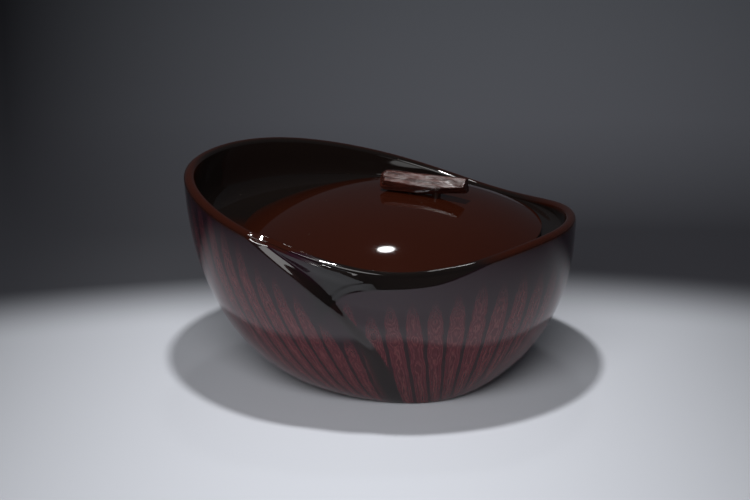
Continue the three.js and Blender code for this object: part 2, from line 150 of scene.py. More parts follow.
LIP_GIVE, LIP_SHAVE_SLOPE, LIP_SHAVE_START, LIP_ROUND_START = 0.5, 1.08, 0.15, 0.6
LIP_SHAVE_IN, LIP_SHAVE_END = (-2.5, 1.5), 262
CREASE_START, CREASE_RISE, CREASE_SPAN, CREASE_GAP = 258.5, (0.78, 0.172), 7.6, 0.048
CREASE_WIDTH, CREASE_LAST_RISE, CREASE_LAST_RISE_OVER = 0.015, 0.05, (286, 306)
CHAMFER_AT_FOLD, CHAMFER_IN_FRONT, CHAMFER_HEIGHT, CHAMFER_STEP = 3.2, 4.0, 0.049, 0.2
CHAMFER_DEEPENS, SLOPE_TAKES_OVER = (250, 270), (266, 271)
FACET_TOP, FACET_TOP_DROP, FACET_TOP_DROP_OVER = 0.992, 0.037, (261, 270)
LID_X, LID_Y, LID_TURN = 8.6, -0.4, 27
LID_HALF_LENGTH, LID_HALF_WIDTH = 101.5, 94
LID_CLEARANCE, SEAT_TOP_Z, REBATE_Z = 1, 98.7, 92.2
REBATE_OUTER, MOUTH, SHELF_BOTTOM_Z = 0.98, 0.93, 87.5
FOOT_RING_INNER, FOOT_RING_OUTER, FOOT_RING_TOP_Z, FOOT_RING_ROUND = 34, 46, 5.7, 0.8
BOTTOM_RECESS_Z, CAVITY_FLOOR_Z, GLUE_GAP = 6, 12, 0.3

# %% Curves of the rim, the wall and the fold
def rim_plan(angle, grow):
    x = (RIM_HALF_LENGTH + grow) * np.cos(np.radians(angle))
    y = (RIM_HALF_WIDTH + grow) * np.sin(np.radians(angle))
    return turned(x, y, RIM_TURN)


def rim_height(angle):
    height = RIM_HEIGHT + 0 * angle
    for times, cos, sin in RIM_WAVES:
        height = height + cos * np.cos(np.radians(times * angle)) + sin * np.sin(np.radians(times * angle))
    return height


def wave(values, angle):
    return values[0] + values[1] * np.cos(np.radians(angle)) + values[2] * np.sin(np.radians(angle))


def fold_angle(share):
    """The fold runs down and right from the rim and tucks back to the left under the belly."""
    sharp, slow = FOLD_BENDS
    lean = FOLD_LEAN * (0.5 * share**sharp + 0.5 * share**slow)
    return FOLD_FOOT_ANGLE - lean - FOLD_TUCK * (1 - share) ** 3


def leaning_angle(column, share):
    """The columns lean with the fold near it, and stand upright before the bowl closes on itself."""
    near = hump(column, FOLD_FOOT_ANGLE, FOLD_PULL) * (1 - smooth_step(UPRIGHT_FROM, 360, column))
    return column + (fold_angle(share) - FOLD_FOOT_ANGLE) * near


def ledge_depth(share):
    """How far the right leaf lies behind the left one: a little low down, more above the tip of the fold."""
    low = LEDGE_DEPTH_AT_TIP * smooth_step(*LEDGE_STARTS, share)
    high = (LEDGE_DEPTH - LEDGE_DEPTH_AT_TIP) * smooth_step(*LEDGE_DEEPENS, share)
    return low + high - (LEDGE_DEPTH - LEDGE_DEPTH_AT_RIM) * smooth_step(*LEDGE_EASES, share)


def ledge_half_width(share):
    """Wide at the rim, a narrow neck where the dark spear ends, and a wider tongue below it."""
    upper = (LEDGE_HALF_WIDTH - LEDGE_NECK_HALF_WIDTH) * smooth_step(*LEDGE_WIDENS, share)
    lower = (LEDGE_TONGUE_HALF_WIDTH - LEDGE_NECK_HALF_WIDTH) * (1 - smooth_step(*LEDGE_TONGUE_ENDS, share))
    return LEDGE_NECK_HALF_WIDTH + upper + lower


def crease_height(angle):
    """The lower edge of the chamfer under the rim. It climbs to the right until it meets the rim."""
    low, rise = CREASE_RISE
    bend = low + rise * (1 - np.exp(-(angle - CREASE_START) / CREASE_SPAN))
    return bend + CREASE_LAST_RISE * smooth_step(*CREASE_LAST_RISE_OVER, angle)


def chamfer_share(angle, share):
    """How much of the chamfer is reached: by two small steps near the fold, on one slope further on."""
    low = crease_height(angle)
    facet_top = FACET_TOP - FACET_TOP_DROP * smooth_step(*FACET_TOP_DROP_OVER, angle)
    first = smooth_step(-CREASE_WIDTH / 2, CREASE_WIDTH / 2, share - low)
    second = smooth_step(-CREASE_WIDTH / 2, CREASE_WIDTH / 2, share - low - CREASE_GAP)
    top = np.clip((share - facet_top) / (1 - facet_top), 0, 1)
    slope = np.clip((share - low) / np.maximum(0.004, 1 - low), 0, 1)
    slope = slope * np.clip((1 - low) / CHAMFER_HEIGHT, 0, 1)
    steps = CHAMFER_STEP * (first + second) + (1 - 2 * CHAMFER_STEP) * top
    return mix(steps, slope, smooth_step(*SLOPE_TAKES_OVER, angle))


def fold_relief(column, share):
    past = column - FOLD_FOOT_ANGLE
    angle = leaning_angle(column, share)
    half = ledge_half_width(share)
    ledge = smooth_step(-half, half, past)
    healed = smooth_step(LEDGE_HALF_WIDTH, LEDGE_END, past)
    depth = mix(CHAMFER_AT_FOLD, CHAMFER_IN_FRONT, smooth_step(*CHAMFER_DEEPENS, angle))
    return -ledge * (ledge_depth(share) * (1 - healed) + depth * chamfer_share(angle, share))


def plain_wall(column, share):
    angle = leaning_angle(column, share)
    left = (1 - share) ** wave(SWELL_UP, angle)
    swell = (1 - left) ** (1 / wave(SWELL_OUT, angle))
    turn = np.arccos(np.minimum(1, np.sqrt(left))) / (math.pi / 2)
    swell = swell * (1 - FLATTEN * turn * (1 - turn))
    cone = share * ((1 + CONE_SLOPE**CONE_BEND) / (1 + (CONE_SLOPE * share) ** CONE_BEND)) ** (1 / CONE_BEND)
    beside = (angle - CONE_ANGLE + 180) % 360 - 180
    reach = mix(swell, cone, CONE_SHARE * hump(beside, 0, CONE_SPREAD))
    rim_x, rim_y = rim_plan(angle, LIP_HALF_THICKNESS)
    foot_x = FOOT_X + FOOT_EDGE_RADIUS * np.cos(np.radians(angle))
    foot_y = FOOT_Y + FOOT_EDGE_RADIUS * np.sin(np.radians(angle))
    top = rim_height(angle) - LIP_RISE
    height = mix(FOOT_EDGE_Z, top, share)
    return np.stack([mix(foot_x, rim_x, reach), mix(foot_y, rim_y, reach), height], -1)


def outwards(column, share):
    x, y = rim_plan(leaning_angle(column, share), LIP_HALF_THICKNESS)
    way = np.stack([x - FOOT_X, y - FOOT_Y, 0 * x], -1)
    return way / np.linalg.norm(way, axis=-1, keepdims=True)


def outer_wall(column, share):
    return plain_wall(column, share) + outwards(column, share) * fold_relief(column, share)[..., None]


def inner_wall(column, share):
    low, high = np.maximum(0.001, share - 0.01), np.minimum(1, share + 0.01)
    along = plain_wall(column + 1, share) - plain_wall(column - 1, share)
    normal = np.cross(along, plain_wall(column, high) - plain_wall(column, low))
    normal = normal / np.linalg.norm(normal, axis=-1, keepdims=True)
    sunk = np.minimum(0, fold_relief(column, share))
    return plain_wall(column, share) + outwards(column, share) * sunk[..., None] - WALL * normal


def lip_inside(column):
    """The lip's inner edge gives way a little where the outside is sunk."""
    give = LIP_GIVE * fold_relief(column, 1.0)
    return rim_plan(leaning_angle(column, 1.0), give - LIP_HALF_THICKNESS)


def lip_height(column, across):
    """Half an ellipse. Right of the fold the outer side is shaved flat, less and less further on."""
    angle = leaning_angle(column, 1.0)
    fold_top = fold_angle(1.0)
    shaved = smooth_step(*LIP_SHAVE_IN, column - FOLD_FOOT_ANGLE)
    shaved = shaved * (1 - np.clip((angle - fold_top) / (LIP_SHAVE_END - fold_top), 0, 1))
    flat = mix(LIP_ROUND_START, LIP_SHAVE_START, shaved) + LIP_SHAVE_SLOPE * across
    return LIP_RISE * np.minimum(2 * math.sqrt(across * (1 - across)), flat)


def inside_corner(angle):
    """How square the inside wall's hollow is: steep under the high rim, an even curve in front."""
    return mix(INSIDE_CORNER, INSIDE_CORNER_IN_FRONT, hump(angle, FRONT_ANGLE, FRONT_SPREAD))


def lid_outline(angle, scale, grow):
    rim_x, rim_y = rim_plan(angle, 0)
    dx, dy = turned(rim_x - LID_X, rim_y - LID_Y, -LID_TURN)
    reach = 1 / np.hypot(dx / (LID_HALF_LENGTH * scale + grow), dy / (LID_HALF_WIDTH * scale + grow))
    x, y = turned(dx * reach, dy * reach, LID_TURN)
    return LID_X + x, LID_Y + y

# %% [markdown]
# ## Rings of the bowl
# A bowl is a stack of rings: under the foot, up the outside, over the lip, down inside to the lid's seat, and
# back into the storage space. Each ring below is one row of points round the bowl. Columns stand closer
# together at the fold, where the surface turns most.

# %% Make the rows of points
LOW_ROWS, HIGH_ROWS, FINE_FROM = 46, 92, 0.75
LIP_ROWS, SLOPE_ROWS, CEILING_ROWS, INNER_ROWS = 20, 22, 6, 30
COARSE_COLUMN, FINE_COLUMN, FINE_PAST_FOLD, FINE_REACH = 1.6, 0.5, 12, 18
ROW_CROWDING, HALVINGS = 1.4, 24
LIP_SPAN, SLOPE_FOOT, SLOPE_SPAN, FURTHER_IN = 0.1, 1.2, 0.09, 1.3


def bowl_columns():
    columns = [0.0]
    while columns[-1] < 360:
        near = abs(columns[-1] - FOLD_FOOT_ANGLE - FINE_PAST_FOLD) < FINE_REACH
        columns.append(columns[-1] + (FINE_COLUMN if near else COARSE_COLUMN))
    columns[-1] = 360.0
    return np.array(columns)


def share_at_height(column, height):
    """Halves the search again and again for the share at which the inside wall reaches a height."""
    low, high = 0 * column, 0 * column + 1
    for _ in range(HALVINGS):
        middle = (low + high) / 2
        under = inner_wall(column, middle)[..., 2] < height
        low, high = np.where(under, middle, low), np.where(under, high, middle)
    return (low + high) / 2


def circle(column, radius, z):
    angle = np.radians(column)
    x = FOOT_X + radius * np.cos(angle)
    y = FOOT_Y + radius * np.sin(angle)
    return np.stack([x, y, z + 0 * x], -1)


def level(column, scale, z):
    x, y = lid_outline(leaning_angle(column, 1.0), scale, 0)
    return np.stack([x, y, z + 0 * x], -1)


def bowl_rings(column):
    """Rows of points, each with its level: 0 to 1 up the outside, then more over the lip and down inside."""
    rows = []
    recess = FOOT_RING_OUTER + GLUE_GAP
    for radius, z in ((0, BOTTOM_RECESS_Z), (recess / 2, BOTTOM_RECESS_Z), (recess, BOTTOM_RECESS_Z),
                      (recess, FOOT_EDGE_Z)):
        rows.append((circle(column, radius, z), 0.0))
    shares = [FINE_FROM * (row / LOW_ROWS) ** ROW_CROWDING for row in range(LOW_ROWS)]
    shares += list(np.linspace(FINE_FROM, 1, HIGH_ROWS))
    for share in shares:
        rows.append((outer_wall(column, share + 0 * column), share))
    angle = leaning_angle(column, 1.0)
    outer = rows[-1][0]
    top = rim_height(angle) - LIP_RISE
    inner_x, inner_y = lip_inside(column)
    for row in range(1, LIP_ROWS + 1):
        across = (1 - math.cos(row / LIP_ROWS * math.pi)) / 2
        x, y = mix(outer[:, 0], inner_x, across), mix(outer[:, 1], inner_y, across)
        rows.append((np.stack([x, y, top + lip_height(column, across)], -1), 1 + LIP_SPAN * across))
    seat_x, seat_y = lid_outline(angle, 1, LID_CLEARANCE)
    corner = inside_corner(angle)
    for row in range(SLOPE_ROWS - 1, -1, -1):
        turn = row / SLOPE_ROWS * math.pi / 2
        out = math.sin(turn) ** (2 / corner)
        up = 1 - math.cos(turn) ** (2 / corner)
        x, y = mix(seat_x, inner_x, out), mix(seat_y, inner_y, out)
        level_here = SLOPE_FOOT + SLOPE_SPAN * row / SLOPE_ROWS
        rows.append((np.stack([x, y, mix(SEAT_TOP_Z, top, up)], -1), level_here))
    for scale, z in ((REBATE_OUTER, SEAT_TOP_Z), (REBATE_OUTER, REBATE_Z), (MOUTH, REBATE_Z),
                     (MOUTH, SHELF_BOTTOM_Z)):
        rows.append((level(column, scale, z), FURTHER_IN))
    high, low = share_at_height(column, CAVITY_TOP_Z), share_at_height(column, CAVITY_FLOOR_Z)
    corner = inner_wall(column, high)
    mouth = level(column, MOUTH, SHELF_BOTTOM_Z)
    for row in range(1, CEILING_ROWS):
        turn = row / CEILING_ROWS * math.pi / 2
        plan = mix(mouth, corner, math.sin(turn))
        plan[:, 2] = mix(SHELF_BOTTOM_Z, corner[:, 2], 1 - math.cos(turn))
        rows.append((plan, FURTHER_IN))
    for row in range(INNER_ROWS + 1):
        rows.append((inner_wall(column, mix(high, low, row / INNER_ROWS)), FURTHER_IN))
    edge = rows[-1][0]
    middle = np.array([FOOT_X, FOOT_Y, CAVITY_FLOOR_Z])
    rows.append((mix(middle, edge, 0.5), FURTHER_IN))
    rows.append((middle + 0 * edge, FURTHER_IN))
    points = np.stack([row[0] for row in rows])
    points[:, -1] = points[:, 0]
    return points, np.array([row[1] for row in rows])

# %% [markdown]
# ## From a flat grid to the bowl
# A flat grid is added and each of its points is sent to its place on the bowl, as a sheet is wrapped round a
# form. The grid keeps its own UV map, so a pattern can be laid on it. Stitching the edges and both poles
# closes the bowl. The UV map is rewritten to hold the number of the stripe and the share of the tongue's
# height, which is what the layered lacquer follows.

# %% Where the stripes, the plain colours and the painted shade go
STRIPES, UNEVEN, UNEVEN_FROM = 52, 0.62, 245
CROWDED_LEFT = ((19, 258, 34), (-9, 258, 60))
CROWDED_RIGHT = ((9, 262, 16), (9, 345, 20))
LEFT_LEAF_REACH, OFFSET, OFFSET_RIGHT, OFFSET_FADES = 130, 0.385, 0.435, (69, 289)
TONGUE_TOP, TONGUE_TOP_RIGHT = 0.855, 0.875
LOWER_LEFT, LOWER_RIGHT = (0.32, 257, 8), (0.12, 266, 6)
HIGHER_FAR_LEFT, FAR_LEFT = 0.18, (214, 247)
BARE_EDGE_SOFT, BARE_RIGHT_EDGE = 1.2, (1.2, 1.9)
WEDGE_ENDS, WEDGE_WIDTH, WEDGE_SOFT = (0.1, 0.62), 5.5, 2.6
BROWN_FROM, BROWN_FROM_IN_FRONT = (0.985, 1.0), (1.03, 1.06)
# The next lines place a painted black: painted shade down the steep, unlit inside of the rim, and under the
# front of the rim a painted dark reflection over the outside's black-brown.
SHADE_FROM, SHADE_FROM_AT_HIGH_SIDE, SHADE_FROM_AT_BACK = (1.18, 1.195), (1.25, 1.265), (1.04, 1.09)
SHADE_UNDER_CREASE = (-0.012, 0.006)
FRONT_LIP, HIGH_SIDE = ((244, 252), (296, 306)), ((140, 160), (238, 252))
FAR_SIDE, UNDER_RIM = ((20, 45), (165, 190)), ((248, 258), (300, 314))


def within(stretch, angle):
    """1 along a stretch of the wall: it fades in over the first pair of angles and out over the second."""
    start, end = stretch
    return smooth_step(*start, angle) * (1 - smooth_step(*end, angle))


def humps(table, angle):
    return sum(much * hump(angle, middle, spread) for much, middle, spread in table)


def stripe_number(column, share):
    """Counts the stripes round the bowl. They crowd a little beside the fold, and don't line up across it."""
    angle = leaning_angle(column, share)
    past = column - FOLD_FOOT_ANGLE
    round_back = np.where(angle < 160, angle + 360, angle)
    on_left_leaf = (past < 0) & (past > -LEFT_LEAF_REACH)
    crowding = np.where(on_left_leaf, humps(CROWDED_LEFT, angle), humps(CROWDED_RIGHT, round_back))
    angle = angle + crowding * (1 - share) ** 2
    beside_left = (past < 0) & (past >= -OFFSET_FADES[0])
    right_share = 1 - smooth_step(*OFFSET_FADES, np.where(past < 0, past + 360, past))
    offset = OFFSET + OFFSET_RIGHT * np.where(beside_left, 0, right_share)
    return STRIPES * angle / 360 + UNEVEN * np.sin(np.radians(2 * (angle - UNEVEN_FROM))) - offset


def tongue_height(column, share):
    """Where the tongues end, as a share of the wall: lower beside the fold."""
    angle = leaning_angle(column, share)
    left = TONGUE_TOP - humps([LOWER_LEFT], angle) + HIGHER_FAR_LEFT * (1 - smooth_step(*FAR_LEFT, angle))
    right = TONGUE_TOP_RIGHT - humps([LOWER_RIGHT], angle)
    return np.where(column < FOLD_FOOT_ANGLE, left, right)


def bare_share(column, share):
    """The ledge of the fold and a wedge beside its foot carry no stripes."""
    past = column - FOLD_FOOT_ANGLE
    wide = 1 - smooth_step(*WEDGE_ENDS, share)
    start = -LEDGE_HALF_WIDTH - WEDGE_WIDTH * wide
    soft = BARE_EDGE_SOFT + WEDGE_SOFT * wide
    return smooth_step(start - soft, start + soft, past) * (1 - smooth_step(*BARE_RIGHT_EDGE, past))


def brown_share(column, upness):
    """The inside and the lip are brown. In front the black-brown of the outside reaches over the lip."""
    front = within(FRONT_LIP, leaning_angle(column, 1.0))
    low, high = (mix(*pair, front) for pair in zip(BROWN_FROM, BROWN_FROM_IN_FRONT))
    return smooth_step(low, high, upness)


def painted_shade_share(column, upness, share):
    """Painted shade: the steep inside of the rim, which the lamps barely reach, is painted black, and so is
    the band under the front of the rim, as a painted dark reflection.
    """
    angle = leaning_angle(column, 1.0)
    at_high_side, at_back = within(HIGH_SIDE, angle), within(FAR_SIDE, np.mod(angle, 360))
    low, high = (mix(*pair, at_high_side) for pair in zip(SHADE_FROM, SHADE_FROM_AT_HIGH_SIDE))
    inside = np.maximum(smooth_step(low, high, upness), at_back * smooth_step(*SHADE_FROM_AT_BACK, upness))
    inside = inside * (upness < FURTHER_IN)
    leaning = leaning_angle(column, share)
    under = smooth_step(*SHADE_UNDER_CREASE, share - crease_height(leaning)) * within(UNDER_RIM, leaning)
    return np.maximum(inside, under * (upness < 1 + LIP_SPAN))


# %% Wrap the bowl
def wrap_bowl():
    column = bowl_columns()
    points, upness = bowl_rings(column)
    rows, columns = points.shape[:2]
    let_go()
    bpy.ops.mesh.primitive_grid_add(x_subdivisions=columns - 1, y_subdivisions=rows - 1, size=1,
                                    calc_uvs=True)
    bowl = bpy.context.active_object
    mesh = bowl.data
    flat = np.zeros(len(mesh.vertices) * 3)
    mesh.vertices.foreach_get("co", flat)
    flat = flat.reshape(-1, 3)
    j = np.rint((flat[:, 0] + 0.5) * (columns - 1)).astype(int)
    i = np.rint((flat[:, 1] + 0.5) * (rows - 1)).astype(int)
    mesh.vertices.foreach_set("co", (points[i, j] * MM).ravel())
    share = np.minimum(upness[i], 1.0)
    number = stripe_number(column[j], share)
    tongue = share / tongue_height(column[j], share)
    corner = np.zeros(len(mesh.loops), int)
    mesh.loops.foreach_get("vertex_index", corner)
    laid = mesh.uv_layers[0]
    laid.name = "stripes"
    laid.data.foreach_set("uv", np.stack([number[corner], tongue[corner]], -1).ravel())
    for name, values in (("rim", brown_share(column[j], upness[i])), ("bare", bare_share(column[j], share)),
                         ("dark", painted_shade_share(column[j], upness[i], share))):
        held = mesh.attributes.new(name, "FLOAT", "POINT")
        held.data.foreach_set("value", values.astype(np.float32))
    mesh.update()
    clean_up(bowl, 2e-6)
    work_on(bowl)
    bpy.ops.object.shade_smooth_by_angle(angle=math.radians(38))
    return bowl


bowl = wrap_bowl()
print("bowl points:", len(bowl.data.vertices))

# %% [markdown]
# ## Node groups for the finishes
# Three effects are worth a node group with named sockets. Fine dust and polishing marks make a lacquer
# surface look real close up, and layered stripes cover the outside. Wood grain runs along the bar and pegs.

# %% Helpers for building node trees
def plug(tree, value, socket):
    """Links a socket's output to an input, or sets the input to a plain value."""
    if isinstance(value, bpy.types.NodeSocket):
        tree.links.new(value, socket)
    else:
        socket.default_value = value


def node(tree, kind, **inputs):
    made = tree.nodes.new(kind)
    for name, value in inputs.items():
        if hasattr(made, name):
            setattr(made, name, value)
            continue
        plug(tree, value, made.inputs[name])
    return made


def math_node(tree, operation, a, b=None, c=None, clamp=False):
    made = tree.nodes.new("ShaderNodeMath")
    made.operation = operation
    made.use_clamp = clamp
    for socket, value in zip(made.inputs, (a, b, c)):
        if value is not None:
            plug(tree, value, socket)
    return made.outputs[0]


def smooth_node(tree, value, low, high):
    made = tree.nodes.new("ShaderNodeMapRange")
    made.interpolation_type = "SMOOTHSTEP"
    tree.links.new(value, made.inputs["Value"])
    made.inputs["From Min"].default_value = low
    made.inputs["From Max"].default_value = high
    return made.outputs["Result"]


def mix_color(tree, share, a, b):
    made = tree.nodes.new("ShaderNodeMix")
    made.data_type = "RGBA"
    for name, value in (("Factor_Float", share), ("A_Color", a), ("B_Color", b)):
        plug(tree, value, next(s for s in made.inputs if s.identifier == name))
    return next(s for s in made.outputs if s.identifier == "Result_Color")


def ramp(tree, value, stops):
    made = tree.nodes.new("ShaderNodeValToRGB")
    tree.links.new(value, made.inputs["Fac"])
    elements = made.color_ramp.elements
    while len(elements) < len(stops):
        elements.new(0.5)
    for element, (place, color) in zip(elements, stops):
        element.position = place
        element.color = (*color, 1)
    return made.outputs["Color"]


def new_group(name, inputs, outputs):
    group = bpy.data.node_groups.new(name, "ShaderNodeTree")
    for label, kind, value in inputs:
        socket = group.interface.new_socket(name=label, in_out="INPUT", socket_type=kind)
        if value is not None:
            socket.default_value = value
    for label, kind in outputs:
        group.interface.new_socket(name=label, in_out="OUTPUT", socket_type=kind)
    return group, group.nodes.new("NodeGroupInput"), group.nodes.new("NodeGroupOutput")


def use_group(tree, group, **inputs):
    made = tree.nodes.new("ShaderNodeGroup")
    made.node_tree = group
    for name, value in inputs.items():
        plug(tree, value, made.inputs[name])
    return made

# %% Dust and polishing marks
def polish_group():
    group, given, result = new_group(
        "polish marks",
        [("Position", "NodeSocketVector", None), ("Roughness", "NodeSocketFloat", 0.06)],
        [("Roughness", "NodeSocketFloat"), ("Height", "NodeSocketFloat"), ("Dust", "NodeSocketFloat")],
    )
    cloud = node(group, "ShaderNodeTexNoise", Vector=given.outputs["Position"], Scale=28.0, Detail=4.0)
    fine = node(group, "ShaderNodeTexNoise", Vector=given.outputs["Position"], Scale=900.0, Detail=2.0)
    spread = math_node(group, "MULTIPLY_ADD", cloud.outputs["Fac"], 0.05, -0.02)
    group.links.new(math_node(group, "ADD", given.outputs["Roughness"], spread), result.inputs["Roughness"])
    swell = math_node(group, "MULTIPLY_ADD", fine.outputs["Fac"], 0.15, cloud.outputs["Fac"])
    group.links.new(swell, result.inputs["Height"])
    specks = node(group, "ShaderNodeTexVoronoi", Vector=given.outputs["Position"], Scale=260.0)
    speck = smooth_node(group, specks.outputs["Distance"], 0.07, 0.03)
    chosen = node(group, "ShaderNodeTexWhiteNoise", noise_dimensions="3D", Vector=specks.outputs["Position"])
    rare = math_node(group, "GREATER_THAN", chosen.outputs["Value"], 0.985)
    group.links.new(math_node(group, "MULTIPLY", speck, rare), result.inputs["Dust"])
    return group


polish = polish_group()

# %% Layered lacquer stripes
BETWEEN_LOW = (0.017, 0.0045, 0.0065, 1)
BETWEEN_HIGH = (0.015, 0.003, 0.0075, 1)


def stripe_group():
    """Tongues of layered lacquer: each is a long ridge with eyes on it, rubbed flat so its layers show."""
    group, given, result = new_group(
        "layered stripes",
        [("Place", "NodeSocketVector", None)],
        [("Color", "NodeSocketColor")],
    )
    parts = node(group, "ShaderNodeSeparateXYZ", Vector=given.outputs["Place"])
    across, up = parts.outputs["X"], parts.outputs["Y"]
    # Which tongue this is and how far off its middle, with a slow sway that grows upwards.
    shake = node(group, "ShaderNodeTexNoise", Vector=given.outputs["Place"], Scale=9.0, Detail=2.0)
    sway = math_node(group, "MULTIPLY_ADD", shake.outputs["Fac"], 0.16, -0.08)
    swayed = math_node(group, "ADD", across, math_node(group, "MULTIPLY", sway, up))
    index = math_node(group, "FLOOR", swayed)
    inside = math_node(group, "SUBTRACT", math_node(group, "FRACT", swayed), 0.5)
    # Each tongue ends at a height of its own and narrows to a round tip.
    chance = node(group, "ShaderNodeTexWhiteNoise", noise_dimensions="1D", W=index)
    end = math_node(group, "MULTIPLY_ADD", chance.outputs["Value"], 0.08, 0.96)
    height = math_node(group, "DIVIDE", up, end)
    narrow = math_node(group, "POWER", math_node(group, "MAXIMUM", height, 0.0), 7.0)
    room = math_node(group, "MAXIMUM", math_node(group, "SUBTRACT", 1.0, narrow), 0.0)
    width = math_node(group, "MULTIPLY", math_node(group, "POWER", room, 0.8), 0.465)
    width = math_node(group, "MAXIMUM", width, 0.001)
    side = math_node(group, "DIVIDE", inside, width)
    dome = math_node(group, "SUBTRACT", 1.0, math_node(group, "MULTIPLY", side, side))
    # The ridge is high in its middle. Eyes rise and sink along it, and fine ripples break its edge.
    where = node(group, "ShaderNodeCombineXYZ", X=math_node(group, "MULTIPLY", index, 7.31), Y=up, Z=0.0)
    eyes = node(group, "ShaderNodeTexNoise", Vector=where.outputs["Vector"], Scale=7.0, Detail=1.0)
    eye = math_node(group, "MULTIPLY_ADD", eyes.outputs["Fac"], 1.7, -0.85)
    eye = math_node(group, "MULTIPLY", eye, smooth_node(group, up, 0.12, 0.75))
    wide = node(group, "ShaderNodeCombineXYZ", X=math_node(group, "MULTIPLY", swayed, 1.6), Y=up, Z=0.0)
    ripple = node(group, "ShaderNodeTexNoise", Vector=wide.outputs["Vector"], Scale=11.0, Detail=3.0)
    rise = math_node(group, "ADD", dome, eye)
    rise = math_node(group, "ADD", rise, math_node(group, "MULTIPLY_ADD", ripple.outputs["Fac"], 0.5, -0.25))
    # Rubbing the ridge flat cuts through the layers, so its height picks the layer that shows.
    layers = ramp(group, math_node(group, "MULTIPLY_ADD", rise, 0.55, 0.1, clamp=True), [
        (0.00, (0.018, 0.0038, 0.0052)), (0.12, (0.023, 0.0038, 0.0062)), (0.16, (0.066, 0.0082, 0.013)),
        (0.24, (0.047, 0.0053, 0.0098)), (0.30, (0.083, 0.0111, 0.017)), (0.335, (0.143, 0.0347, 0.0372)),
        (0.36, (0.066, 0.0077, 0.013)), (0.45, (0.077, 0.0092, 0.0155)), (0.49, (0.132, 0.0308, 0.035)),
        (0.52, (0.053, 0.0063, 0.0108)), (0.60, (0.086, 0.0111, 0.0181)), (0.635, (0.154, 0.0404, 0.0413)),
        (0.665, (0.057, 0.0067, 0.0114)), (0.75, (0.079, 0.0106, 0.017)), (0.79, (0.132, 0.0327, 0.035)),
        (0.83, (0.046, 0.0053, 0.0088)),
    ])
    below_tip = smooth_node(group, height, 1.1, 0.78)
    body = math_node(group, "MULTIPLY", smooth_node(group, dome, 0.0, 0.3), below_tip)
    fade = smooth_node(group, height, 1.05, 0.62)
    shown = math_node(group, "MULTIPLY", body, math_node(group, "MULTIPLY_ADD", fade, 0.75, 0.25))
    between = mix_color(group, smooth_node(group, up, 0.3, 1.05), BETWEEN_LOW, BETWEEN_HIGH)
    group.links.new(mix_color(group, shown, between, layers), result.inputs["Color"])
    return group


stripes = stripe_group()

# %% [markdown]
# ## Lacquer
# Lacquer is dozens of thin coats, rubbed flat and polished. Light goes a little way in before it comes back,
# but what the eye reads is a dark, even colour under a sharp, clear reflection. So the roughness is low, and
# only a trace of dust and polishing marks breaks it up.

# %% Lacquer materials
BROWN = (0.019, 0.0038, 0.0016, 1)
BROWN_WORN = (0.027, 0.006, 0.0027, 1)
BLACK_BROWN = (0.0105, 0.0048, 0.0045, 1)
# A black used for painted shade inside the rim and for a painted dark reflection under the front rim.
SHADE_BLACK = (0.006, 0.0042, 0.0036, 1)
FOOT_BLACK, FOOT_WORN = (0.012, 0.006, 0.005, 1), (0.022, 0.009, 0.007, 1)
DUST = (0.25, 0.2, 0.17, 1)
LACQUER_GLOSS = 0.05
LACQUER_IOR = 1.52
WEAR = 0.45


def lacquer(name):
    material = bpy.data.materials.new(name)
    material.use_nodes = True
    tree = material.node_tree
    shader = tree.nodes["Principled BSDF"]
    shader.inputs["IOR"].default_value = LACQUER_IOR
    place = tree.nodes.new("ShaderNodeTexCoord")
    marks = use_group(tree, polish, Position=place.outputs["Object"], Roughness=LACQUER_GLOSS)
    tree.links.new(marks.outputs["Roughness"], shader.inputs["Roughness"])
    bump = node(tree, "ShaderNodeBump", Strength=0.05, Distance=0.0002, Height=marks.outputs["Height"])
    tree.links.new(bump.outputs["Normal"], shader.inputs["Normal"])
    return material, tree, shader, marks, place


def worn_tone(tree, place, color, worn):
    """The colour drifts a little towards its worn tone, in soft patches."""
    patches = node(tree, "ShaderNodeTexNoise", Vector=place.outputs["Object"], Scale=14.0, Detail=3.0)
    return mix_color(tree, math_node(tree, "MULTIPLY", patches.outputs["Fac"], WEAR), color, worn)


def plain_lacquer(name, color, worn):
    material, tree, shader, marks, place = lacquer(name)
    tone = worn_tone(tree, place, color, worn)
    tree.links.new(mix_color(tree, marks.outputs["Dust"], tone, DUST), shader.inputs["Base Color"])
    return material


def striped_lacquer():
    material, tree, shader, marks, place = lacquer("striped lacquer")
    laid = node(tree, "ShaderNodeUVMap", uv_map="stripes")
    pattern = use_group(tree, stripes, Place=laid.outputs["UV"])
    bare = node(tree, "ShaderNodeAttribute", attribute_name="bare").outputs["Fac"]
    rim = node(tree, "ShaderNodeAttribute", attribute_name="rim").outputs["Fac"]
    outside = mix_color(tree, bare, pattern.outputs["Color"], BLACK_BROWN)
    brown = worn_tone(tree, place, BROWN, BROWN_WORN)
    # Painted shade: where the dark attribute is set, the colour turns black for the unlit inside of the rim
    # and for a painted dark reflection under the front of the rim.
    dark = node(tree, "ShaderNodeAttribute", attribute_name="dark").outputs["Fac"]
    tone = mix_color(tree, dark, mix_color(tree, rim, outside, brown), SHADE_BLACK)
    tree.links.new(mix_color(tree, marks.outputs["Dust"], tone, DUST), shader.inputs["Base Color"])
    return material


striped = striped_lacquer()
brown = plain_lacquer("brown lacquer", BROWN, BROWN_WORN)
black = plain_lacquer("foot lacquer", FOOT_BLACK, FOOT_WORN)
finish_piece(bowl, "lacquered_bowl", "vessel", "body_shell", striped)

# %% [markdown]
# ## Turned pieces
# The lid and the rings are shaped to a template, so half a section is enough: it is drawn as a line of
# points and spun a full turn about the vertical. The lid's pieces are then stretched to its oval, turned on
# the bowl and moved to its middle. A small round on each edge catches the light.

